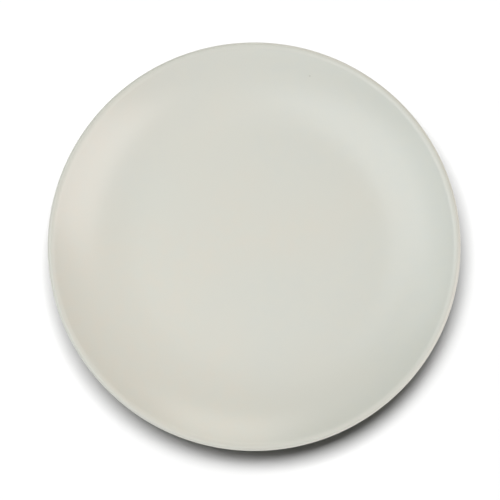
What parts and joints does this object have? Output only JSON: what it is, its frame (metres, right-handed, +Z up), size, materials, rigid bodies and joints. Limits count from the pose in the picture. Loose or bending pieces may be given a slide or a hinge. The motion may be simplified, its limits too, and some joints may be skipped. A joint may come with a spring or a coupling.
{
  "type": "fruit plate",
  "caption": "Round rimless coupe plate with a flat floor, a smoothly rising wall, a soft shoulder and thin rounded edge at the lip, satin glaze and a bare clay foot ring, for serving fruit or dessert.",
  "frame": {"origin": "on the table, under the centre of the plate", "axes": "+Z up along the plate's axis of revolution, +X to the right and +Y away from the viewer of the picture"},
  "size_m": [0.21, 0.21, 0.023],
  "materials": {
    "bare_clay": "matte",
    "satin_glaze": "satin"
  },
  "bodies": {
    "root": {"clay_body": "bare_clay", "face_glaze": "satin_glaze", "back_glaze": "satin_glaze", "base_glaze": "satin_glaze"}
  },
  "joints": []
}
